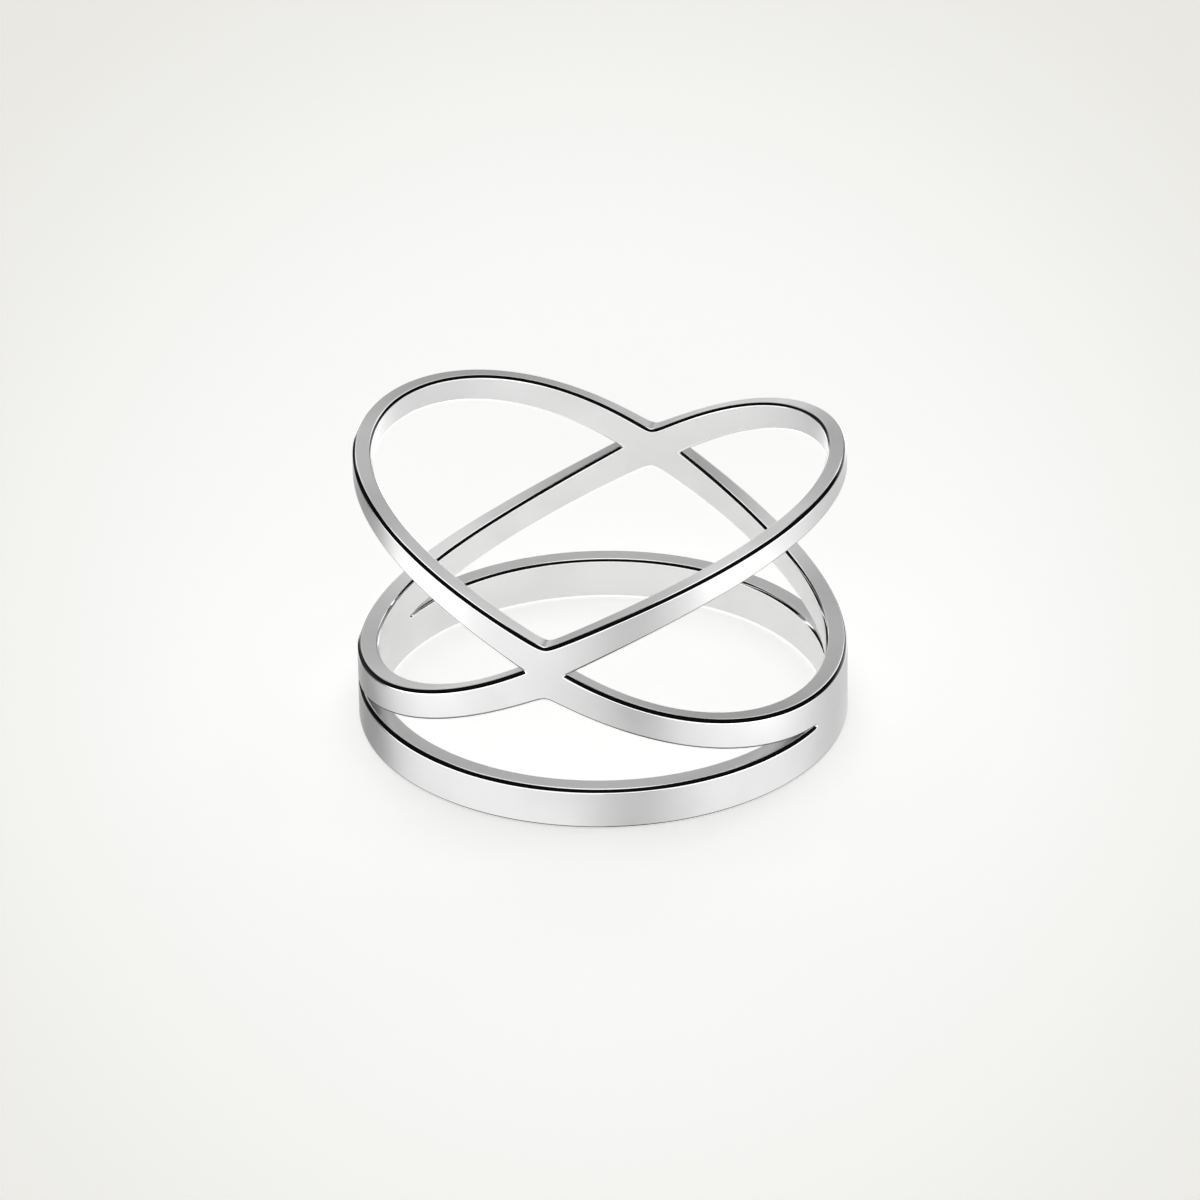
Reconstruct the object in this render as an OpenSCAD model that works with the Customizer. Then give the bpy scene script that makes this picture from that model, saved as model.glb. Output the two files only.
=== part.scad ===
// Crossover finger ring: a plain base band carrying two bands that cross at the front and at the back.
// It is one cast piece. The wall is a plain tube, and every window in it is cut straight through
// towards the finger axis. +Z is the finger axis, z = 0 is the flat foot of the base band, the two
// crossings lie at -Y (front) and +Y (back), and the ring is tallest at -X and +X (its sides).

/* [Finger size] */

// Inside diameter, US size 7
bore_d = 17.3; // [15.7:0.1:19.8]
// Thickness of the wall, the same all round
wall = 0.86; // [0.7:0.02:1.1]
// How much the inside widens from the base band up to the highest point, so that only the band grips
draft = 0.12; // [0.04:0.02:0.2]

/* [Base band] */

// Height of the plain band the ring stands on
base_h = 1.64; // [1.5:0.02:1.9]

/* [Front crossing, heights above the foot] */

// Notch where the upper arms meet
front_notch = 7.66; // [7.4:0.02:7.9]
// Underside of the upper arms, run on to the middle of the crossing
front_under = 6.22; // [6.0:0.02:6.4]
// Top of the lower arms, run on to the middle of the crossing
front_over = 7.16; // [7.0:0.02:7.3]
// Peak of the window below the crossing
front_peak = 5.7; // [5.4:0.02:5.8]

/* [Back crossing, heights above the foot] */

// Notch where the upper arms meet
back_notch = 7.42; // [7.2:0.02:7.7]
// Underside of the upper arms, run on to the middle of the crossing
back_under = 5.98; // [5.8:0.02:6.2]
// Top of the lower arms, run on to the middle of the crossing
back_over = 7.58; // [7.3:0.02:7.7]
// Peak of the window below the crossing
back_peak = 6.06; // [5.8:0.02:6.2]

/* [Sides, heights above the foot] */

// Highest point of the rim
side_rim = 11.55; // [11.4:0.05:12.2]
// Underside of the upper arms, the top of each side window
side_under = 10.65; // [10.2:0.05:10.8]
// Top of the lower arms, the bottom of each side window
side_over = 2.95; // [2.5:0.05:3.2]
// Where the underside of the lower arms would end if the base band did not swallow it
side_foot = 1.5; // [1.4:0.02:1.5]

/* [Lines and edges] */

// How much the upper arms bow: 0 is straight when seen from the front
bow_upper = 0.32; // [0.1:0.02:0.4]
// How much the top of the lower arms bows
bow_over = 0.36; // [0.1:0.02:0.4]
// How much the underside of the lower arms bows
bow_foot = 0.14; // [0.04:0.02:0.2]
// Radius worn into the bottom of a notch and the top of a peak
notch_r = 0.4; // [0.1:0.05:0.8]
// Width of the softened edge round every window and on the base band
edge_break = 0.08; // [0.04:0.01:0.14]
// Width of the softened edge along the rim, the part a polishing wheel reaches best
rim_break = 0.18; // [0.08:0.01:0.22]
// Opening left at the very end of a side window
corner_gap = 0.14; // [0.1:0.02:0.3]
// Opening left at the very end of a lower window, where the arm runs into the base band
slit_gap = 0.1; // [0.08:0.02:0.2]

/* [Hidden] */

bore_r = bore_d / 2;
outer_r = bore_r + wall;
stock_h = side_rim + 1;    // tube the ring is cut from
clear = 0.4;               // how far a cutter stands out of the wall on each side
turn = 360;
rim_steps = 132;           // cuts round the rim
rim_crowding = 1.5;        // how much closer they lie at the notches and at the sides
side_steps = 46;           // cuts along a side window
low_steps = 44;            // cuts along a lower window
peak_spacing = 0.35;       // distance between them at the peak, against even spacing

$fn = 180;

// Middle angle of each half and of each side, looking down the finger axis.
FRONT = 270;
BACK = 90;
RIGHT = 0;
LEFT = 180;

// Height of an edge line at offset t from the crossing, where t is 0 at the crossing and 1 at the side.
function run(t, cross_h, side_h, bow) = cross_h + (side_h - cross_h) * t * (1 + bow * (1 - t));

// Offset at which an edge line that rises by `rise` reaches the height gained.
function reach(gained, rise, bow) =
    (1 + bow - sqrt(pow(1 + bow, 2) - 4 * bow * gained / rise)) / (2 * bow);

// Offset from the crossing for an angle round the ring, sharp or with its zero rounded over.
function offset_of(angle) = abs(cos(angle));
function soft_offset(angle, slope) =
    sqrt(pow(cos(angle), 2) + pow(notch_r * slope / outer_r, 2));

function at_front(angle) = sin(angle) < 0;
function slope_of(cross_h, side_h, bow) = abs(side_h - cross_h) * (1 + bow) / outer_r;

// Inside radius at a height: the base band is a true cylinder, the wall above it widens evenly.
function inner_r(h) = bore_r + draft * max(0, h - base_h) / (side_rim - base_h);

// The four edge lines as heights at an angle round the ring.
function rim_h(a) =
    let (h = at_front(a) ? front_notch : back_notch)
    run(soft_offset(a, slope_of(h, side_rim, bow_upper)), h, side_rim, bow_upper);
function under_h(a) = run(offset_of(a), at_front(a) ? front_under : back_under, side_under, bow_upper);
function over_h(a) = run(offset_of(a), at_front(a) ? front_over : back_over, side_over, bow_over);
function foot_h(a) =
    let (h = at_front(a) ? front_peak : back_peak)
    run(soft_offset(a, slope_of(h, side_foot, bow_foot)), h, side_foot, bow_foot);

// Angle from the crossing at which a side window opens: where its two edge lines stand corner_gap apart.
function corner_angle(under, over) =
    let (
        up = side_under - under,
        down = side_over - over,
        bend = up * bow_upper - down * bow_over,
        climb = up - down + bend,
        short = over - under + corner_gap
    )
    asin((climb - sqrt(climb * climb - 4 * bend * short)) / (2 * bend));

// Angle from the crossing at which a lower window closes on the base band.
function slit_angle(peak) = asin(reach(base_h + slit_gap - peak, side_foot - peak, bow_foot));

// Steps from 0 to 1 that crowd together at both ends, or in the middle.
function end_crowd(i, n) = (1 - cos(180 * i / n)) / 2;
function mid_crowd(i, n) =
    let (u = 2 * i / n - 1)
    (1 + u * (peak_spacing + (1 - peak_spacing) * abs(u))) / 2;

// A station of a cutter: angle, lower height, upper height, and how far its flared
// edges lead (+1) or trail (-1) it so that the end of the window is softened too.
function station(angle, low, high, lead = 0) = [angle, low, high, lead];

function side_window(middle) =
    let (
        first = middle == RIGHT ? -90 + corner_angle(front_under, front_over)
                                : 90 + corner_angle(back_under, back_over),
        last = middle == RIGHT ? 90 - corner_angle(back_under, back_over)
                               : 270 - corner_angle(front_under, front_over)
    )
    [for (i = [0 : side_steps])
        let (a = first + (last - first) * end_crowd(i, side_steps))
        station(a, over_h(a), under_h(a), i == 0 ? -1 : i == side_steps ? 1 : 0)];

function low_window(middle) =
    let (half = slit_angle(middle == FRONT ? front_peak : back_peak))
    [for (i = [0 : low_steps])
        let (a = middle - half + 2 * half * mid_crowd(i, low_steps))
        station(a, base_h, foot_h(a), i == 0 ? -1 : i == low_steps ? 1 : 0)];

function rim_line() =
    [for (i = [0 : rim_steps - 1])
        let (quarter = floor(4 * i / rim_steps), part = 4 * i / rim_steps - quarter,
             eased = quarter % 2 == 0 ? 1 - pow(1 - part, rim_crowding) : pow(part, rim_crowding),
             a = 90 * (quarter + eased))
        station(a, rim_h(a), stock_h + 1)];

// Corners of a cutter at one station, going round it. Each edge flares at 45 degrees where it
// leaves the wall, inside and outside.
function corner(s, r, h, flare = 0) =
    let (a = s[0] + s[3] * flare / outer_r * 180 / PI)
    [r * cos(a), r * sin(a), h];

function window_section(s) =
    let (flare = edge_break + clear)
    [
        corner(s, inner_r(s[1]) - clear, s[1] - flare, flare),
        corner(s, inner_r(s[1]) + edge_break, s[1]),
        corner(s, outer_r - edge_break, s[1]),
        corner(s, outer_r + clear, s[1] - flare, flare),
        corner(s, outer_r + clear, s[2] + flare, flare),
        corner(s, outer_r - edge_break, s[2]),
        corner(s, inner_r(s[2]) + edge_break, s[2]),
        corner(s, inner_r(s[2]) - clear, s[2] + flare, flare)
    ];

function rim_section(s) =
    let (flare = rim_break + clear)
    [
        corner(s, inner_r(s[1]) - clear, s[1] - flare),
        corner(s, inner_r(s[1]) + rim_break, s[1]),
        corner(s, outer_r - rim_break, s[1]),
        corner(s, outer_r + clear, s[1] - flare),
        corner(s, outer_r + clear, s[2]),
        corner(s, bore_r - clear, s[2])
    ];

// Skin of a cutter: two triangles between each pair of neighbouring corners.
function skin(stations, corners, closed) =
    [for (i = [0 : stations - (closed ? 1 : 2)], j = [0 : corners - 1], half = [0, 1])
        let (here = i * corners, next = (i + 1) % stations * corners, k = (j + 1) % corners)
        half == 0 ? [here + j, here + k, next + k] : [here + j, next + k, next + j]];

// End cap of a window cutter, cut into strips that follow its flares.
function cap(first, flip) =
    [for (t = [[0, 1, 6], [0, 6, 7], [1, 2, 5], [1, 5, 6], [2, 3, 4], [2, 4, 5]])
        flip ? [first + t[2], first + t[1], first + t[0]] : [first + t[0], first + t[1], first + t[2]]];

// One window, cut straight through the wall.
module window_cutter(stations) {
    sections = [for (s = stations) window_section(s)];
    n = len(sections);
    corners = len(sections[0]);
    polyhedron(
        points = [for (s = sections) each s],
        faces = concat(skin(n, corners, false), cap(0, true), cap((n - 1) * corners, false))
    );
}

// Everything above the rim.
module rim_cutter() {
    sections = [for (s = rim_line()) rim_section(s)];
    polyhedron(
        points = [for (s = sections) each s],
        faces = skin(len(sections), len(sections[0]), true)
    );
}

// Tube of the full height, its two foot edges softened.
module stock() {
    rotate_extrude(angle = turn)
        polygon([
            [bore_r + edge_break, 0],
            [outer_r - edge_break, 0],
            [outer_r, edge_break],
            [outer_r, stock_h],
            [inner_r(stock_h), stock_h],
            [bore_r, base_h],
            [bore_r, edge_break]
        ]);
}

module crossover_ring() {
    color([0.86, 0.86, 0.86])
        difference() {
            stock();
            rim_cutter();
            window_cutter(side_window(RIGHT));
            window_cutter(side_window(LEFT));
            window_cutter(low_window(FRONT));
            window_cutter(low_window(BACK));
        }
}

crossover_ring();
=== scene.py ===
"""Crossover finger ring in polished silver, standing on a pale studio floor.

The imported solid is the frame. The ring's own piece replaces it: the same tube wall, cut along edge lines
that keep within 0.1 mm of the solid's, with finely broken corners and a polished finish.
"""
import logging
import math
from dataclasses import dataclass, field
from enum import Enum
from typing import Any, Sequence

import bpy
import numpy as np
from mathutils import Matrix, Vector
from mathutils.geometry import delaunay_2d_cdt


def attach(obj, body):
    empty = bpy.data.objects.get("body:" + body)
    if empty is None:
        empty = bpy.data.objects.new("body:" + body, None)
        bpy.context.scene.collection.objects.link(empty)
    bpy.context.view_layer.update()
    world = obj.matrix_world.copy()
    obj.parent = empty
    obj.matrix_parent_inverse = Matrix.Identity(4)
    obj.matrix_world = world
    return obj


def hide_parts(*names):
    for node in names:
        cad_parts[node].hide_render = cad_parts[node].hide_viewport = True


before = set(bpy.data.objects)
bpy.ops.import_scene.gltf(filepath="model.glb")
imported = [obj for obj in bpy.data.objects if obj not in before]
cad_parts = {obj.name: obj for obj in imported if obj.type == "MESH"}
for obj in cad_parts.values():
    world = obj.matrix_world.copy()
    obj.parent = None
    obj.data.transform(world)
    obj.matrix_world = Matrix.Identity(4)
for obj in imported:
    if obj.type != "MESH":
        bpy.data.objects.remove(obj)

MM = 0.001
QUARTER = math.pi / 2
# An angle or a cosine below this counts as nothing
TINY = 1e-9
# Where the camera stands, in degrees round from straight in front towards the right
CAMERA_AZIMUTH = 13.5
Colour = tuple[float, float, float, float]

log = logging.getLogger("ring")


def level_axes(azimuth: float) -> tuple[Vector, Vector]:
    """Gives the level directions to the right and away, as a camera sees them.

    Args:
        azimuth: Where the camera stands, in degrees round from straight in front.

    Returns:
        The direction to the right and the direction away.
    """
    turn = math.radians(azimuth)
    return Vector((math.cos(turn), math.sin(turn), 0.0)), Vector((-math.sin(turn), math.cos(turn), 0.0))


# Shader building


class Value:
    """A number socket on which shader maths is written as plain expressions."""

    def __init__(self, tree: "Tree", socket: Any) -> None:
        """Wraps a socket of a node in the tree."""
        self.tree = tree
        self.socket = socket

    def _math(self, operation: str, *terms: Any) -> "Value":
        """Adds a Math node and returns its result."""
        return self.tree.node("ShaderNodeMath", {"operation": operation}, dict(enumerate(terms)))

    def __add__(self, other: Any) -> "Value":
        """Adds a number or a socket."""
        return self._math("ADD", self, other)

    def __sub__(self, other: Any) -> "Value":
        """Takes a number or a socket away."""
        return self._math("SUBTRACT", self, other)

    def __rsub__(self, other: Any) -> "Value":
        """Takes this socket away from a number."""
        return self._math("SUBTRACT", other, self)

    def __mul__(self, other: Any) -> "Value":
        """Multiplies with a number or a socket."""
        return self._math("MULTIPLY", self, other)

    def __abs__(self) -> "Value":
        """Drops the sign."""
        return self._math("ABSOLUTE", self)

    __radd__ = __add__
    __rmul__ = __mul__

    def angle_from(self, other: "Value") -> "Value":
        """Gives the angle whose sine goes with this value and whose cosine goes with the other."""
        return self._math("ARCTAN2", self, other)

    def arcsine(self) -> "Value":
        """Gives the angle that has this sine."""
        return self._math("ARCSINE", self)

    def ramp(self, start: float, stop: float) -> "Value":
        """Rises smoothly from 0 at start to 1 at stop, or falls where start is the larger.

        Args:
            start: Value at which the result is 0.
            stop: Value at which the result is 1.

        Returns:
            The eased value, held between 0 and 1.
        """
        low, high = sorted((start, stop))
        eased = self.tree.node(
            "ShaderNodeMapRange",
            {"interpolation_type": "SMOOTHSTEP"},
            {"Value": self, "From Min": low, "From Max": high},
        )
        return eased if start < stop else 1 - eased


class Tree:
    """The node tree of a material or of the world, filled in by short calls."""

    def __init__(self, owner: Any) -> None:
        """Starts with an empty tree.

        Args:
            owner: The material or world whose nodes are built.
        """
        owner.use_nodes = True
        self.nodes = owner.node_tree.nodes
        self.links = owner.node_tree.links
        self.nodes.clear()

    def node(self, kind: str, settings: dict[str, Any], inputs: dict[Any, Any], output: Any = 0) -> Value:
        """Adds a node.

        Args:
            kind: Blender's name of the node type.
            settings: The node's own settings, which are made first.
            inputs: A value or a link for each socket, by name or number.
            output: Name or number of the socket to hand back.

        Returns:
            The wanted output socket.
        """
        made = self.nodes.new(kind)
        for name, setting in settings.items():
            setattr(made, name, setting)
        for name, source in inputs.items():
            if isinstance(source, Value):
                self.links.new(source.socket, made.inputs[name])
            else:
                made.inputs[name].default_value = source
        return Value(self, made.outputs[output] if len(made.outputs) else None)

    def dot(self, vector: Value, axis: Vector) -> Value:
        """Gives a vector's part along an axis."""
        settings = {"operation": "DOT_PRODUCT"}
        return self.node("ShaderNodeVectorMath", settings, {0: vector, 1: axis}, "Value")

    def length(self, vector: Value) -> Value:
        """Gives a vector's length."""
        return self.node("ShaderNodeVectorMath", {"operation": "LENGTH"}, {0: vector}, "Value")

    def mix(self, mask: Value, low: Any, high: Any) -> Value:
        """Blends two colours, from low where the mask is 0 to high where it is 1."""
        # The node repeats its socket names for each kind of data: these numbers are those for colours
        return self.node("ShaderNodeMix", {"data_type": "RGBA"}, {0: mask, 6: low, 7: high}, 2)


# Finishes


@dataclass(frozen=True)
class PolishedSilver:
    """Silver polished by hand: mirror-bright edges and satin faces.

    Attributes:
        colour: Colour of the faces.
        dull_colour: Colour of the faces where the polish is least fresh.
        edge_colour: Colour of the burnished edges.
        painted_edge_shade_colour: Colour of the painted shade along the lower outside edges, a dark line
            that stands in for a darker reflection there.
        face_roughness: Mean roughness of the broad faces.
        unevenness: Share by which it is higher in the dullest places and lower in the freshest.
        edge_roughness: Roughness of the burnished edges.
        cloud_scale: Fineness of the clouds in the polish, in cycles to a metre.
        cloud_detail: Finer layers in the clouds.
        cloud_range: Strength of the clouds at which the polish is freshest and dullest.
        line_scale: Fineness of the polishing lines up the wall, in cycles to a metre.
        line_stretch: Fineness along them, as a share of that.
        line_detail: Finer layers in the lines.
        line_depth: Depth of the lines.
    """

    colour: Colour = (0.86, 0.86, 0.86, 1.0)
    dull_colour: Colour = (0.83, 0.83, 0.83, 1.0)
    edge_colour: Colour = (0.97, 0.97, 0.97, 1.0)
    painted_edge_shade_colour: Colour = (0.20, 0.20, 0.20, 1.0)
    face_roughness: float = 0.42
    unevenness: float = 0.1
    edge_roughness: float = 0.06
    cloud_scale: float = 260.0
    cloud_detail: float = 3.0
    cloud_range: tuple[float, float] = (0.35, 0.7)
    line_scale: float = 9000.0
    line_stretch: float = 0.15
    line_detail: float = 2.0
    line_depth: float = 0.0003 * MM

    def material(self) -> bpy.types.Material:
        """Builds the material.

        Returns:
            The finished material.
        """
        made = bpy.data.materials.new("polished_silver")
        tree = Tree(made)
        place = tree.node("ShaderNodeTexCoord", {}, {}, "Object")
        clouds = tree.node(
            "ShaderNodeTexNoise",
            {},
            {"Vector": place, "Scale": self.cloud_scale, "Detail": self.cloud_detail},
        )
        stretch = (self.line_stretch, self.line_stretch, 1.0)
        long_way = tree.node("ShaderNodeMapping", {}, {"Vector": place, "Scale": stretch})
        lines = tree.node(
            "ShaderNodeTexNoise",
            {},
            {"Vector": long_way, "Scale": self.line_scale, "Detail": self.line_detail},
        )
        burnish, painted_edge_shade = (
            tree.node("ShaderNodeAttribute", {"attribute_name": mark}, {}, "Fac")
            for mark in RingPiece.MARKS
        )
        dull = clouds.ramp(*self.cloud_range)
        colour = tree.mix(burnish, tree.mix(dull, self.colour, self.dull_colour), self.edge_colour)
        face = self.face_roughness * (1.0 - self.unevenness + 2.0 * self.unevenness * dull)
        roughness = face + (self.edge_roughness - face) * burnish
        relief = tree.node("ShaderNodeBump", {}, {"Distance": self.line_depth, "Height": lines})
        shader = tree.node(
            "ShaderNodeBsdfPrincipled",
            {},
            {
                # Painted shade darkens the lower outside edges, standing in for a darker reflection
                "Base Color": tree.mix(painted_edge_shade, colour, self.painted_edge_shade_colour),
                "Metallic": 1.0,
                "Roughness": roughness,
                "Normal": relief,
            },
        )
        tree.node("ShaderNodeOutputMaterial", {}, {"Surface": shader})
        return made


@dataclass(frozen=True)
class PaleFloor:
    """White table that glows partly by itself, with a pool of light painted round the ring.

    Attributes:
        centre: Colour of the painted pool of light round the ring.
        edge: Darker colour at the border of the painted pool of light.
        near: Distance across the picture at which the pool starts to fall off.
        far: Distance at which it has fallen off.
        depth: How much longer the pool is away from the camera than across.
        shift: How far behind the ring its centre lies.
        azimuth: Where the camera stands, in degrees round from straight in front.
        glow: Brightness that comes from the table itself, as a share of its colour.
    """

    centre: Colour = (0.975, 0.975, 0.965, 1.0)
    edge: Colour = (0.835, 0.828, 0.79, 1.0)
    near: float = 11.0 * MM
    far: float = 38.0 * MM
    depth: float = 2.03
    shift: float = 8.0 * MM
    azimuth: float = CAMERA_AZIMUTH
    glow: float = 0.605

    def material(self) -> bpy.types.Material:
        """Builds the material.

        Returns:
            The finished material.
        """
        made = bpy.data.materials.new("pale_floor")
        tree = Tree(made)
        place = tree.node("ShaderNodeTexCoord", {}, {}, "Object")
        _, away = level_axes(self.azimuth)
        pool = tree.node(
            "ShaderNodeMapping",
            {"vector_type": "TEXTURE"},
            {
                "Vector": place,
                "Location": away * self.shift,
                "Rotation": (0.0, 0.0, math.radians(self.azimuth)),
                "Scale": (1.0, self.depth, 1.0),
            },
        )
        # The pool of light is painted into the table's colour, brightest round the ring
        colour = tree.mix(tree.length(pool).ramp(self.near, self.far), self.centre, self.edge)
        lit = tree.node("ShaderNodeEmission", {}, {"Color": colour, "Strength": self.glow})
        matt = tree.node("ShaderNodeBsdfDiffuse", {}, {"Color": colour})
        both = tree.node("ShaderNodeAddShader", {}, {0: lit, 1: matt})
        tree.node("ShaderNodeOutputMaterial", {}, {"Surface": both})
        return made


# Shape of the ring


@dataclass(frozen=True)
class EdgeLine:
    """One edge line of the pierced wall: its heights above the foot and how it runs between them.

    Attributes:
        front: Height at the middle of the front crossing.
        back: Height at the middle of the back crossing.
        side: Height at the sides.
        bow: How much the line bows between crossing and side, 0 being straight seen from the front.
        worn: Radius to which it is worn where it turns back at a crossing.
    """

    front: float
    back: float
    side: float
    bow: float = 0.0
    worn: float = 0.0

    def height(self, angle: np.ndarray, radius: float) -> np.ndarray:
        """Works out the height of the line.

        Args:
            angle: Angles round the ring from its right side, negative towards the front.
            radius: Outside radius of the ring.

        Returns:
            The height at each angle.
        """
        crossing = np.where(angle < 0, self.front, self.back)
        rise = self.side - crossing
        worn = self.worn * np.abs(rise) * (1 + self.bow) / radius**2
        way = np.hypot(np.cos(angle), worn)
        return crossing + rise * way * (1 + self.bow * (1 - way))


@dataclass(frozen=True)
class EdgeBreak:
    """How the two corners of a cut face are polished away: a bevel that runs softly into both faces.

    Attributes:
        TURNS: Degrees by which a corner has turned at each step, from the curved face to the cut face.
        SHARES: Share of the way round the corner that lies between one step and the next.
        LEVEL: Slope of the outward direction, up or down, from which an edge counts as facing that way.
        outer: Length of the way round the corner at the outside of the wall.
        inner: The same at the inside of the wall.
        below: Share of both that is left where the edge faces down.
    """

    TURNS = (0, 3, 15, 37, 42, 52, 64, 77, 90)
    SHARES = (0.03, 0.17, 0.04, 0.32, 0.25, 0.08, 0.06, 0.05)
    LEVEL = 0.25

    outer: float
    inner: float
    below: float = 0.5

    def profile(self, length: float) -> list[tuple[float, float, float]]:
        """Draws the corner from the curved face to the cut face.

        Args:
            length: Length of the way round the corner.

        Returns:
            For each step, its distance from the cut face, its depth below the curved face, and the
            angle by which it has turned away from the curved face.
        """
        turns = np.radians(self.TURNS)
        steps = length * np.array(self.SHARES)
        headings = (turns[1:] + turns[:-1]) / 2
        back = np.append(np.cumsum((steps * np.cos(headings))[::-1])[::-1], 0.0)
        sunk = np.insert(np.cumsum(steps * np.sin(headings)), 0, 0.0)
        return list(zip(back, sunk, turns))

    def share(self, upward: np.ndarray) -> np.ndarray:
        """Gives the share of the break that is left where an edge faces more or less upward."""
        return np.interp(upward, (-self.LEVEL, self.LEVEL), (self.below, 1.0))


@dataclass(frozen=True)
class Outline:
    """An edge of the wall laid out flat, as distance round the ring and height.

    Attributes:
        points: The edge from end to end, with the open side on its left.
        closed: Whether it runs all round a window.
        edge_break: How its corners are broken.
    """

    points: np.ndarray
    closed: bool
    edge_break: EdgeBreak

    def outward(self) -> np.ndarray:
        """Finds the directions out of the metal.

        Returns:
            One flat unit vector for each point. Where an open edge ends, it is upright.
        """
        ahead = np.roll(self.points, -1, axis=0) - self.points
        ahead /= np.linalg.norm(ahead, axis=1)[:, None]
        behind = np.roll(ahead, 1, axis=0)
        along = ahead + behind
        if not self.closed:
            along[0] = (ahead[0, 0], 0.0)
            along[-1] = (behind[-1, 0], 0.0)
        along /= np.linalg.norm(along, axis=1)[:, None]
        return np.stack([-along[:, 1], along[:, 0]], axis=1)


class Drafting:
    """Drawing tools for edges in the flat layout.

    Attributes:
        FINE: Points on each leg of an edge as it is first drawn.
        BEND: Points on each worn corner, its two ends counted.
        SEARCH: Angles tried to find where two edge lines meet.
    """

    FINE = 1500
    BEND = 150
    SEARCH = 30000

    @staticmethod
    def length_along(points: np.ndarray) -> np.ndarray:
        """Gives each point's distance along the curve from its start."""
        steps = np.linalg.norm(np.diff(points, axis=0), axis=1)
        return np.concatenate([[0.0], np.cumsum(steps)])

    @staticmethod
    def pick(points: np.ndarray, along: np.ndarray, marks: np.ndarray) -> np.ndarray:
        """Reads a curve at given marks of a measure that grows along it."""
        return np.stack([np.interp(marks, along, points[:, axis]) for axis in (0, 1)], axis=1)

    @classmethod
    def cut(cls, points: np.ndarray, start: float, stop: float) -> np.ndarray:
        """Cuts a length off each end of a curve.

        Args:
            points: The curve.
            start: Length to cut off its start.
            stop: Length to cut off its end.

        Returns:
            The curve that is left.
        """
        along = cls.length_along(points)
        marks = np.linspace(start, along[-1] - stop, len(points))
        return cls.pick(points, along, marks)

    @classmethod
    def join(cls, legs: Sequence[np.ndarray], worn: float, closed: bool) -> np.ndarray:
        """Joins curves end to end, with the corners between them worn round.

        Args:
            legs: The curves in order, each starting where the one before it ends.
            worn: Radius of the corners.
            closed: Whether the last curve meets the first.

        Returns:
            The whole edge as one fine curve.
        """
        count = len(legs)
        reach = []
        for i in range(count if closed else count - 1):
            before, after = legs[i], legs[(i + 1) % count]
            back, on = before[-2] - before[-1], after[1] - after[0]
            opening = math.acos(np.dot(back, on) / np.linalg.norm(back) / np.linalg.norm(on))
            reach.append(worn / math.tan(opening / 2))
        parts = []
        for i, leg in enumerate(legs):
            start = reach[i - 1] if closed or i > 0 else 0.0
            stop = reach[i] if i < len(reach) else 0.0
            parts.append(cls.cut(leg, start, stop))
        joined = []
        for i, part in enumerate(parts):
            joined.append(part)
            if i < len(reach):
                joined.append(cls.bend(part[-1], legs[i][-1], parts[(i + 1) % count][0]))
        return np.concatenate(joined)

    @classmethod
    def bend(cls, start: np.ndarray, corner: np.ndarray, stop: np.ndarray) -> np.ndarray:
        """Draws the round that replaces a corner, without its two ends."""
        way = np.linspace(0.0, 1.0, cls.BEND)[1:-1, None]
        return (1 - way) ** 2 * start + 2 * way * (1 - way) * corner + way**2 * stop

    @classmethod
    def spread(cls, points: np.ndarray, spacing: float, turn: float, closed: bool) -> np.ndarray:
        """Places points along a curve, closer together where it bends.

        Args:
            points: The fine curve.
            spacing: Distance between points where it is straight.
            turn: Most that the curve may turn between two points.
            closed: Whether its end meets its start.

        Returns:
            The points, the start of a closed curve only once.
        """
        if closed:
            points = np.concatenate([points, points[:1]])
        steps = np.diff(points, axis=0)
        headings = np.unwrap(np.arctan2(steps[:, 1], steps[:, 0]))
        bends = np.abs(np.gradient(headings))
        effort = np.maximum(np.linalg.norm(steps, axis=1) / spacing, bends / turn)
        along = np.concatenate([[0.0], np.cumsum(effort)])
        marks = np.linspace(0.0, along[-1], math.ceil(along[-1]) + 1)
        placed = cls.pick(points, along, marks)
        return placed[:-1] if closed else placed


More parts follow.
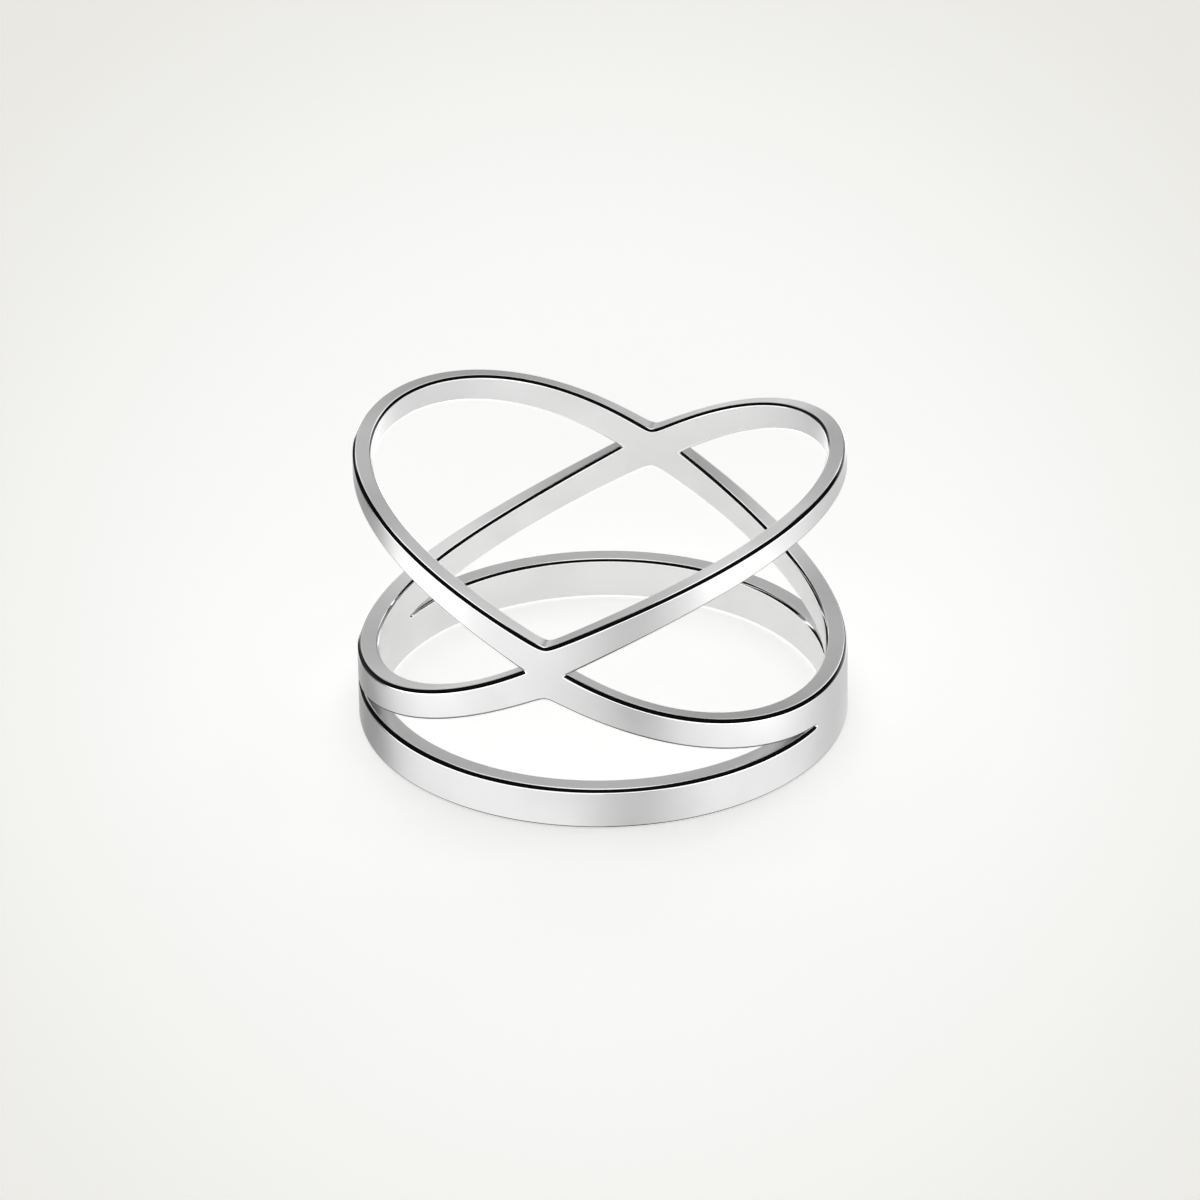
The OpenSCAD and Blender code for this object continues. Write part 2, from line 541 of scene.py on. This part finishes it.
@dataclass
class RingWall:
    """The pierced tube wall that the ring is made of, laid out flat for its right half.

    Attributes:
        bore: Inside radius of the base band.
        thick: Thickness of its wall.
        draft: How much the inside widens from there to the highest point.
        base: Height of the base band.
        rim: Edge line along the top of the upper arms.
        under: Edge line along the underside of the upper arms.
        over: Edge line along the top of the lower arms.
        foot: Edge line along the underside of the lower arms.
        rim_break: How the edges of the rim are broken, the part that a polishing wheel reaches best.
        edge_break: How every other edge is broken.
        corner: Radius worn into the ends of the windows.
        spacing: Distance between points along a straight edge.
        turn: Most that an edge turns between two points.
    """

    bore: float = 8.65 * MM
    thick: float = 0.86 * MM
    draft: float = 0.12 * MM
    base: float = 1.68 * MM
    rim: EdgeLine = EdgeLine(front=7.66 * MM, back=7.42 * MM, side=11.55 * MM, bow=0.32, worn=0.4 * MM)
    under: EdgeLine = EdgeLine(front=6.16 * MM, back=5.93 * MM, side=10.59 * MM, bow=0.32)
    over: EdgeLine = EdgeLine(front=7.16 * MM, back=7.58 * MM, side=2.95 * MM, bow=0.36)
    foot: EdgeLine = EdgeLine(front=5.62 * MM, back=6.03 * MM, side=1.54 * MM, bow=0.18, worn=0.4 * MM)
    rim_break: EdgeBreak = EdgeBreak(outer=0.24 * MM, inner=0.20 * MM)
    edge_break: EdgeBreak = EdgeBreak(outer=0.26 * MM, inner=0.20 * MM)
    corner: float = 0.015 * MM
    spacing: float = 0.09 * MM
    turn: float = math.radians(9)

    @property
    def outside(self) -> float:
        """Outside radius."""
        return self.bore + self.thick

    @property
    def middle(self) -> float:
        """Radius halfway through the wall, at which the layout is measured."""
        return self.bore + self.thick / 2

    def inside(self, height: np.ndarray) -> np.ndarray:
        """Gives the inside radius at each height."""
        return self.bore + self.draft * np.maximum(0.0, height - self.base) / (self.rim.side - self.base)

    def leg(self, line: EdgeLine, start: float, stop: float) -> np.ndarray:
        """Draws an edge line from one angle to another in the flat layout."""
        angle = np.linspace(start, stop, Drafting.FINE)
        return np.stack([angle * self.middle, line.height(angle, self.outside)], axis=1)

    def meeting(self, first: EdgeLine, second: EdgeLine, low: float, high: float) -> float:
        """Finds where two edge lines meet.

        Args:
            first: One line.
            second: The other line.
            low: Angle before the meeting.
            high: Angle after it.

        Returns:
            The angle at which they meet.
        """
        angle = np.linspace(low, high, Drafting.SEARCH)
        gap = first.height(angle, self.outside) - second.height(angle, self.outside)
        crossed = int(np.argmax(np.sign(gap) != np.sign(gap[0])))
        share = gap[crossed - 1] / (gap[crossed - 1] - gap[crossed])
        return float(angle[crossed - 1] + share * (angle[crossed] - angle[crossed - 1]))

    def outline(self, legs: Sequence[np.ndarray], closed: bool, edge_break: EdgeBreak) -> Outline:
        """Joins legs into an outline with well-placed points."""
        fine = Drafting.join(legs, self.corner, closed)
        return Outline(Drafting.spread(fine, self.spacing, self.turn, closed), closed, edge_break)

    def top_edge(self) -> Outline:
        """The rim, from the front crossing to the back one."""
        return self.outline([self.leg(self.rim, -QUARTER, QUARTER)], False, self.rim_break)

    def bottom_edge(self) -> Outline:
        """The flat foot, from the back to the front."""
        flat = EdgeLine(0.0, 0.0, 0.0)
        return self.outline([self.leg(flat, QUARTER, -QUARTER)], False, self.edge_break)

    def side_window(self) -> Outline:
        """The window between the upper and the lower arms."""
        front = self.meeting(self.under, self.over, -QUARTER, 0.0)
        back = self.meeting(self.under, self.over, QUARTER, 0.0)
        legs = [self.leg(self.over, front, back), self.leg(self.under, back, front)]
        return self.outline(legs, True, self.edge_break)

    def low_windows(self) -> tuple[Outline, Outline]:
        """The front and the back window over the base band, as far as the middle of the crossings."""
        band = EdgeLine(self.base, self.base, self.base)
        front = self.meeting(self.foot, band, -QUARTER, 0.0)
        back = self.meeting(self.foot, band, QUARTER, 0.0)
        front_legs = [self.leg(band, -QUARTER, front), self.leg(self.foot, front, -QUARTER)]
        back_legs = [self.leg(self.foot, QUARTER, back), self.leg(band, back, QUARTER)]
        return (
            self.outline(front_legs, False, self.edge_break),
            self.outline(back_legs, False, self.edge_break),
        )


class Skin(Enum):
    """The two curved faces of the wall."""

    OUTSIDE = 1
    INSIDE = -1


@dataclass
class HalfMesh:
    """Mesh of the right half of the wall, gathered edge by edge and then mirrored.

    Attributes:
        MERGE: Distance in millimetres within which points of a curved face count as one.
        wall: The wall that is built.
        grain: Distance between points inside the curved faces.
        seam: Distance between points on the seam between the halves.
        places: Places of the points, gathered in groups.
        normals: Their normals.
        marks: How far they are burnished and how far they carry the painted edge shade.
        faces: Numbers of each face's points.
        count: How many points there are.
    """

    MERGE = 1e-7

    wall: RingWall
    grain: float = 0.32 * MM
    seam: float = 0.2 * MM
    places: list[np.ndarray] = field(default_factory=list)
    normals: list[np.ndarray] = field(default_factory=list)
    marks: list[np.ndarray] = field(default_factory=list)
    faces: list[tuple[int, ...]] = field(default_factory=list)
    count: int = 0

    def add_points(self, flat: np.ndarray, skin: Skin, sunk: np.ndarray | float, facing: np.ndarray,
                   marks: np.ndarray | tuple[float, ...]) -> np.ndarray:
        """Wraps points of the flat layout round the finger axis.

        Args:
            flat: Points as distance round the ring and height.
            skin: Curved face from which their depth is measured.
            sunk: How deep they lie below it.
            facing: Normals as (round the ring, up, away from the axis).
            marks: How far each point is burnished and how far it carries the painted edge shade, from 0 to
                1, or the same for all.

        Returns:
            The numbers of the new points.
        """
        angle = flat[:, 0] / self.wall.middle
        angle = np.where(np.abs(np.abs(angle) - QUARTER) < TINY, np.sign(angle) * QUARTER, angle)
        cos, sin = np.cos(angle), np.sin(angle)
        cos = np.where(np.abs(cos) < TINY, 0.0, cos)
        radius = self.radius(flat, skin, sunk)
        facing = facing / np.linalg.norm(facing, axis=1)[:, None]
        round_way, up, away = facing.T
        normal = [away * cos - round_way * sin, away * sin + round_way * cos, up]
        self.places.append(np.stack([radius * cos, radius * sin, flat[:, 1]], axis=1))
        self.normals.append(np.stack(normal, axis=1))
        self.marks.append(np.broadcast_to(marks, (len(flat), 2)))
        numbers = np.arange(self.count, self.count + len(flat))
        self.count += len(flat)
        return numbers

    def radius(self, flat: np.ndarray, skin: Skin, sunk: np.ndarray | float) -> np.ndarray:
        """Gives the radius of points that lie a depth below one of the curved faces."""
        surface = self.wall.outside if skin is Skin.OUTSIDE else self.wall.inside(flat[:, 1])
        return surface - skin.value * sunk

    def add_edge(self, outline: Outline) -> dict[Skin, tuple[np.ndarray, np.ndarray]]:
        """Builds a cut face with its two broken corners.

        Args:
            outline: The edge.

        Returns:
            For each curved face, the flat points where the edge runs into it, and their numbers.
        """
        out, broken = outline.outward(), outline.edge_break
        share = broken.share(out[:, 1])
        ends, rows = {}, []
        for skin, width in ((Skin.OUTSIDE, broken.outer), (Skin.INSIDE, broken.inner)):
            strip = []
            for back, sunk, turn in broken.profile(width):
                flat = outline.points - out * (back * share)[:, None]
                # The layout is true to size only at the middle radius, so the directions are put right
                cut = out.copy()
                cut[:, 1] *= self.radius(flat, skin, sunk * share) / self.wall.middle
                cut /= np.linalg.norm(cut, axis=1)[:, None]
                away = np.full((len(out), 1), skin.value * math.cos(turn))
                facing = np.concatenate([cut * math.sin(turn), away], axis=1)
                marks = np.zeros((len(out), 2))
                if 0.0 < turn < QUARTER - TINY:
                    # The corner is burnished, and at the outside it is darkened with painted shade where it
                    # faces down
                    marks[:, 0] = 1.0
                    marks[:, 1] = np.clip(-out[:, 1], 0.0, 1.0) if skin is Skin.OUTSIDE else 0.0
                strip.append((flat, self.add_points(flat, skin, sunk * share, facing, marks)))
            ends[skin] = strip[0]
            numbers = [row for _, row in strip]
            rows += numbers if skin is Skin.OUTSIDE else numbers[::-1]
        for row, below in zip(rows, rows[1:]):
            self.add_strip(row, below, outline.closed)
        return ends

    def add_strip(self, row: np.ndarray, below: np.ndarray, closed: bool) -> None:
        """Fills the strip between two rows of points with quads."""
        last = len(row) if closed else len(row) - 1
        for i in range(last):
            j = (i + 1) % len(row)
            self.faces.append((row[i], row[j], below[j], below[i]))

    def add_skin(self, skin: Skin, border: Sequence[tuple[np.ndarray, np.ndarray]],
                 hole: tuple[np.ndarray, np.ndarray]) -> None:
        """Fills a curved face between the edges that bound it.

        Args:
            skin: Which face.
            border: Edges in order round the half, as flat points and their numbers. Upright seams
                join them.
            hole: The edge of the side window.
        """
        flats, numbers = [], []
        for i, (flat, known) in enumerate(border):
            following = border[(i + 1) % len(border)][0]
            seam = self.seam_points(flat[-1], following[0])
            flats += [flat, seam]
            numbers += [known, self.add_plain(skin, seam)]
        rim = np.concatenate(flats)
        inside = self.grid_points(rim, hole[0])
        flat = np.concatenate([rim, hole[0], inside])
        known = np.concatenate([*numbers, hole[1], self.add_plain(skin, inside)])
        sides = self.loop_sides(len(rim), len(hole[0]))
        points = [Vector(point) for point in flat / MM]
        _, _, found, origin, _, _ = delaunay_2d_cdt(points, sides, [], 0, self.MERGE, True)
        corners = np.array([[origin[v][0] for v in face] for face in found])
        # The triangles fill the convex hull of the points, windows and all: the ones in metal are kept
        middles = flat[corners].mean(axis=1)
        corners = corners[self.within(middles, flat, sides)]
        a, b, c = (flat[corners[:, k]] for k in range(3))
        turn = (b - a)[:, 0] * (c - a)[:, 1] - (b - a)[:, 1] * (c - a)[:, 0]
        for triangle, way in zip(known[corners], turn * skin.value):
            self.faces.append(tuple(triangle) if way > 0 else tuple(triangle[::-1]))

    def add_plain(self, skin: Skin, flat: np.ndarray) -> np.ndarray:
        """Adds points that lie in a curved face, and returns their numbers."""
        facing = np.tile((0.0, 0.0, float(skin.value)), (len(flat), 1))
        return self.add_points(flat, skin, 0.0, facing, (0.0, 0.0))

    def seam_points(self, start: np.ndarray, stop: np.ndarray) -> np.ndarray:
        """Places points between two ends on a seam, without the ends."""
        count = max(2, math.ceil(abs(stop[1] - start[1]) / self.seam))
        way = np.linspace(0.0, 1.0, count + 1)[1:-1, None]
        return start + way * (stop - start)

    def grid_points(self, rim: np.ndarray, hole: np.ndarray) -> np.ndarray:
        """Places points inside a curved face, clear of its edges."""
        low, high = rim.min(axis=0), rim.max(axis=0)
        across = np.arange(low[0], high[0], self.grain)
        up = np.arange(low[1], high[1], self.grain)
        grid = np.stack(np.meshgrid(across, up), axis=-1).reshape(-1, 2)
        border = np.concatenate([rim, hole])
        clear = [np.hypot(*(border - point).T).min() > self.grain / 2 for point in grid]
        grid = grid[np.array(clear)]
        return grid[self.within(grid, border, self.loop_sides(len(rim), len(hole)))]

    @staticmethod
    def loop_sides(*sizes: int) -> list[tuple[int, int]]:
        """Pairs up neighbouring points in closed loops that are numbered one after another.

        Args:
            sizes: Number of points in each loop.

        Returns:
            The two ends of every side.
        """
        sides, start = [], 0
        for size in sizes:
            sides += [(start + i, start + (i + 1) % size) for i in range(size)]
            start += size
        return sides

    @staticmethod
    def within(points: np.ndarray, corners: np.ndarray, sides: Sequence[tuple[int, int]]) -> np.ndarray:
        """Tests which points lie inside loops of sides, holes counted as outside."""
        start, stop = corners[[a for a, _ in sides]], corners[[b for _, b in sides]]
        inside = np.zeros(len(points), bool)
        for i, (x, y) in enumerate(points):
            spans = (start[:, 1] > y) != (stop[:, 1] > y)
            s, t = start[spans], stop[spans]
            at = s[:, 0] + (y - s[:, 1]) / (t[:, 1] - s[:, 1]) * (t[:, 0] - s[:, 0])
            inside[i] = np.count_nonzero(at > x) % 2 == 1
        return inside

    def build(self) -> None:
        """Builds the whole right half."""
        front, back = self.wall.low_windows()
        foot, rim = self.add_edge(self.wall.bottom_edge()), self.add_edge(self.wall.top_edge())
        front_low, back_low = self.add_edge(front), self.add_edge(back)
        window = self.add_edge(self.wall.side_window())
        for skin in Skin:
            border = [edge[skin] for edge in (foot, back_low, rim, front_low)]
            self.add_skin(skin, [(flat[::-1], known[::-1]) for flat, known in border], window[skin])


@dataclass
class RingPiece:
    """The ring itself, one piece of polished silver.

    Attributes:
        NODE: The frame's node that it stands for.
        MARKS: Names of the two layers that say how far each point is burnished and how far it carries the
            painted edge shade.
        wall: Its wall.
        finish: Its finish.
    """

    NODE = "crossover_ring"
    MARKS = ("burnish", "painted_edge_shade")

    wall: RingWall = field(default_factory=RingWall)
    finish: PolishedSilver = field(default_factory=PolishedSilver)

    def mesh(self) -> bpy.types.Mesh:
        """Builds the mesh of both halves, joined along their seam.

        Returns:
            The mesh, with the true normals of its surfaces.
        """
        half = HalfMesh(self.wall)
        half.build()
        places, normals = np.concatenate(half.places), np.concatenate(half.normals)
        marks, count = np.concatenate(half.marks), half.count
        # Points on the seam serve both halves, and every other point gets a twin
        apart = np.flatnonzero(places[:, 0] != 0.0)
        twin = np.arange(count)
        twin[apart] = count + np.arange(len(apart))
        flip = np.array([-1.0, 1.0, 1.0])
        faces = half.faces + [tuple(twin[list(face)][::-1]) for face in half.faces]
        made = bpy.data.meshes.new(self.NODE)
        made.from_pydata(np.concatenate([places, places[apart] * flip]), [], faces)
        for mark, values in zip(self.MARKS, np.concatenate([marks, marks[apart]]).T):
            layer = made.attributes.new(mark, "FLOAT", "POINT")
            layer.data.foreach_set("value", np.ascontiguousarray(values))
        made.polygons.foreach_set("use_smooth", np.ones(len(made.polygons), bool))
        made.normals_split_custom_set_from_vertices(np.concatenate([normals, normals[apart] * flip]))
        return made

    def build(self) -> bpy.types.Object:
        """Builds the ring and seats it in the frame.

        Returns:
            The ring.
        """
        ring = bpy.data.objects.new("ring_body", self.mesh())
        bpy.context.collection.objects.link(ring)
        ring.data.materials.append(self.finish.material())
        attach(ring, "root")
        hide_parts(self.NODE)
        return ring


# Studio


@dataclass
class Viewpoint:
    """Camera standing in front of the ring, a little to the right and above.

    Attributes:
        azimuth: Degrees round from straight in front, towards the right.
        elevation: Degrees above the floor.
        roll: Degrees by which the picture leans, its right side up.
        distance: Distance from the ring.
        near: Least distance at which it sees things.
        lens: Focal length in millimetres.
        aim: Point at which it looks.
        drop: How far the middle of the picture lies below that point.
        slide: How far it lies to the left of it.
    """

    azimuth: float = CAMERA_AZIMUTH
    elevation: float = 29.2
    roll: float = 0.86
    distance: float = 432.0 * MM
    near: float = 10.0 * MM
    lens: float = 335.0
    aim: Vector = field(default_factory=lambda: Vector((0.0, 0.0, 5.706 * MM)))
    drop: float = 0.90 * MM
    slide: float = 0.06 * MM

    def axes(self) -> tuple[Vector, Vector, Vector]:
        """Gives the picture's right and up directions and the way back to the camera."""
        right, away = level_axes(self.azimuth)
        rise, lean = math.radians(self.elevation), math.radians(self.roll)
        back = Vector((0.0, 0.0, math.sin(rise))) - away * math.cos(rise)
        up = back.cross(right)
        return (
            right * math.cos(lean) - up * math.sin(lean),
            up * math.cos(lean) + right * math.sin(lean),
            back,
        )

    def build(self) -> bpy.types.Object:
        """Makes the camera and gives it to the scene."""
        right, up, back = self.axes()
        camera = bpy.data.objects.new("camera", bpy.data.cameras.new("camera"))
        bpy.context.collection.objects.link(camera)
        camera.data.lens = self.lens
        camera.data.clip_start = self.near
        place = self.aim + back * self.distance - up * self.drop - right * self.slide
        camera.matrix_world = Matrix.Translation(place) @ Matrix((right, up, back)).transposed().to_4x4()
        bpy.context.scene.camera = camera
        return camera


@dataclass(frozen=True)
class Patch:
    """A soft-edged patch of the light tent, placed as seen from the ring.

    Attributes:
        bearing: Degrees round from straight behind the ring, towards the right.
        elevation: Degrees above the horizon.
        width: Half its width in degrees.
        height: Half its height in degrees.
        blur: Degrees over which it fades at its border.
        strength: Its brightness.
    """

    bearing: float
    elevation: float
    width: float
    height: float
    blur: float
    strength: float

    def over(self, light: Value, bearing: Value, elevation: Value) -> Value:
        """Lays the patch over the light that is there.

        Args:
            light: Brightness without the patch.
            bearing: Bearing of each direction, in degrees.
            elevation: Elevation of each direction, in degrees.

        Returns:
            The brightness with the patch.
        """
        across = abs(bearing - self.bearing).ramp(self.width + self.blur, self.width)
        up = abs(elevation - self.elevation).ramp(self.height + self.blur, self.height)
        return light + (self.strength - light) * (across * up)


@dataclass
class Surroundings:
    """What the polished metal mirrors: a light tent with dark cloth on the camera's side.

    Attributes:
        azimuth: Where the camera stands, in degrees round from straight in front.
        cloth: Brightness of the dark cloth.
        below: Brightness of the lower half, which stands for the floor.
        skyline: Brightness of the band just below the horizon.
        skyline_rise: Elevations between which the lower half brightens into that band.
        horizon: Elevations between which the band gives way to the cloth.
        roof: Brightness of the round panel overhead.
        roof_tilt: Degrees by which the panel lies behind the top of the tent.
        roof_size: Half its width in degrees.
        roof_blur: Degrees over which its border fades to either side.
        patches: What else is in the tent, each laid over those before it.
    """

    azimuth: float = CAMERA_AZIMUTH
    cloth: float = 0.004
    below: float = 1.0
    skyline: float = 1.3
    skyline_rise: tuple[float, float] = (-20.0, -12.0)
    horizon: tuple[float, float] = (-1.0, 1.0)
    roof: float = 1.3
    roof_tilt: float = 2.0
    roof_size: float = 22.0
    roof_blur: float = 3.0
    patches: tuple[Patch, ...] = (
        # Shade on the table, mirrored by the left end of the outer faces and by the dark lines there
        Patch(bearing=-44.0, elevation=-36.0, width=12.0, height=26.0, blur=16.0, strength=0.18),
        Patch(bearing=-40.0, elevation=-6.0, width=14.0, height=8.0, blur=6.0, strength=0.02),
        # Shade on the table, mirrored by the right end of the outer faces and by their middle
        Patch(bearing=48.0, elevation=-36.0, width=8.0, height=26.0, blur=22.0, strength=0.60),
        Patch(bearing=168.0, elevation=-40.0, width=11.0, height=16.0, blur=11.0, strength=0.20),
        # The two halves of a low fill light on the camera's side, which meet where the bearings end
        Patch(bearing=176.0, elevation=18.0, width=20.0, height=10.0, blur=8.0, strength=0.5),
        Patch(bearing=-176.0, elevation=18.0, width=20.0, height=10.0, blur=8.0, strength=0.5),
        # Dim cloth behind the ring, which the top faces mirror, with darker and brighter places in it
        Patch(bearing=0.0, elevation=8.0, width=24.0, height=8.0, blur=6.0, strength=0.25),
        Patch(bearing=0.0, elevation=40.0, width=36.0, height=21.0, blur=10.0, strength=0.66),
        Patch(bearing=8.0, elevation=46.0, width=11.0, height=10.0, blur=8.0, strength=0.03),
        Patch(bearing=11.0, elevation=13.0, width=11.0, height=6.0, blur=8.0, strength=0.22),
        Patch(bearing=-6.0, elevation=-1.0, width=4.0, height=3.0, blur=6.0, strength=1.5),
        Patch(bearing=33.0, elevation=36.0, width=6.0, height=14.0, blur=8.0, strength=1.15),
        Patch(bearing=-14.0, elevation=42.0, width=8.0, height=5.0, blur=9.0, strength=1.2),
        # Wings of the roof panel
        Patch(bearing=-65.0, elevation=68.0, width=20.0, height=6.0, blur=8.0, strength=1.2),
        Patch(bearing=65.0, elevation=68.0, width=20.0, height=6.0, blur=8.0, strength=1.2),
    )

    def build(self) -> None:
        """Makes the world."""
        world = bpy.data.worlds.new("light_tent")
        bpy.context.scene.world = world
        tree = Tree(world)
        way = tree.node("ShaderNodeTexCoord", {}, {}, "Generated")
        rightward, away = level_axes(self.azimuth)
        upward, tilt = Vector((0.0, 0.0, 1.0)), math.radians(self.roof_tilt)
        x, y, z = (tree.dot(way, axis) for axis in (rightward, away, upward))
        bearing = x.angle_from(y) * math.degrees(1.0)
        elevation = z.arcsine() * math.degrees(1.0)
        light = self.below + (self.skyline - self.below) * elevation.ramp(*self.skyline_rise)
        light = light + (self.cloth - light) * elevation.ramp(*self.horizon)
        for patch in self.patches:
            light = patch.over(light, bearing, elevation)
        roofward = tree.dot(way, upward * math.cos(tilt) + away * math.sin(tilt))
        border = [math.cos(math.radians(self.roof_size + off)) for off in (self.roof_blur, -self.roof_blur)]
        light = light + (self.roof - light) * roofward.ramp(*border)
        shade = tree.node("ShaderNodeBackground", {}, {"Color": (1.0, 1.0, 1.0, 1.0), "Strength": light})
        tree.node("ShaderNodeOutputWorld", {}, {"Surface": shade})


@dataclass
class Panel:
    """A small square light panel lying on the table, which lights the ring's arms from below.

    Attributes:
        across: How far to the right of the ring it lies, seen from the camera.
        near: How far it lies from the ring towards the camera.
        height: Height above the table.
        size: Length of its sides.
        brightness: Its radiance.
        azimuth: Where the camera stands, in degrees round from straight in front.
    """

    across: float
    near: float
    height: float = 0.05 * MM
    size: float = 14.0 * MM
    brightness: float = 0.9
    azimuth: float = CAMERA_AZIMUTH

    def build(self) -> bpy.types.Object:
        """Makes the panel, facing up and out of the camera's sight."""
        lamp = bpy.data.lights.new("panel", "AREA")
        lamp.size = self.size
        lamp.energy = self.brightness * math.pi * self.size**2
        panel = bpy.data.objects.new("panel", lamp)
        bpy.context.collection.objects.link(panel)
        rightward, away = level_axes(self.azimuth)
        panel.location = rightward * self.across - away * self.near + Vector((0.0, 0.0, self.height))
        panel.rotation_euler = (math.pi, 0.0, math.radians(self.azimuth))
        panel.visible_camera = False
        return panel


@dataclass
class Studio:
    """Floor, light and camera.

    Attributes:
        floor_size: Radius of the floor.
        floor_middle: Radius of the part of it that lies inside the ring.
        floor_sides: Number of sides of both.
        floor: Finish of the floor.
        surroundings: What stands round it.
        panels: The small lights.
        viewpoint: The camera.
    """

    floor_size: float = 800.0 * MM
    floor_middle: float = 9.08 * MM
    floor_sides: int = 128
    floor: PaleFloor = field(default_factory=PaleFloor)
    surroundings: Surroundings = field(default_factory=Surroundings)
    panels: tuple[Panel, ...] = (
        Panel(across=-23.0 * MM, near=6.0 * MM),
        Panel(across=20.0 * MM, near=14.0 * MM),
        Panel(across=1.0 * MM, near=-17.5 * MM),
    )
    viewpoint: Viewpoint = field(default_factory=Viewpoint)

    def build_floor(self) -> None:
        """Lays the floor at the height of the ring's foot, in two parts that meet under the ring's wall.

        The metal mirrors the part inside the ring. Round it, the metal mirrors the light tent's lower half.
        """
        material, count = self.floor.material(), self.floor_sides
        way = np.linspace(0.0, 2 * math.pi, count, endpoint=False)
        circle = np.stack([np.cos(way), np.sin(way), np.zeros(count)], axis=1)
        rings = np.concatenate([circle * self.floor_middle, circle * self.floor_size])
        strips = [(i, count + i, count + (i + 1) % count, (i + 1) % count) for i in range(count)]
        for name, faces in (("floor_inside", [tuple(range(count))]), ("floor_outside", strips)):
            sheet = bpy.data.meshes.new(name)
            sheet.from_pydata(rings, [], faces)
            sheet.materials.append(material)
            part = bpy.data.objects.new(name, sheet)
            bpy.context.collection.objects.link(part)
            part.visible_glossy = part.visible_shadow = name == "floor_inside"

    def build(self) -> None:
        """Builds the studio and shows its colours as they are."""
        self.build_floor()
        self.surroundings.build()
        for panel in self.panels:
            panel.build()
        self.viewpoint.build()
        bpy.context.scene.view_settings.view_transform = "Standard"


def main() -> None:
    """Builds the ring and its studio, and notes the size of the whole."""
    logging.basicConfig(level=logging.INFO, format="%(name)s: %(message)s")
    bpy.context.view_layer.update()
    Studio().build()
    ring = RingPiece().build()
    log.info("%s: %d faces", ring.name, len(ring.data.polygons))


if __name__ == "__main__":
    main()
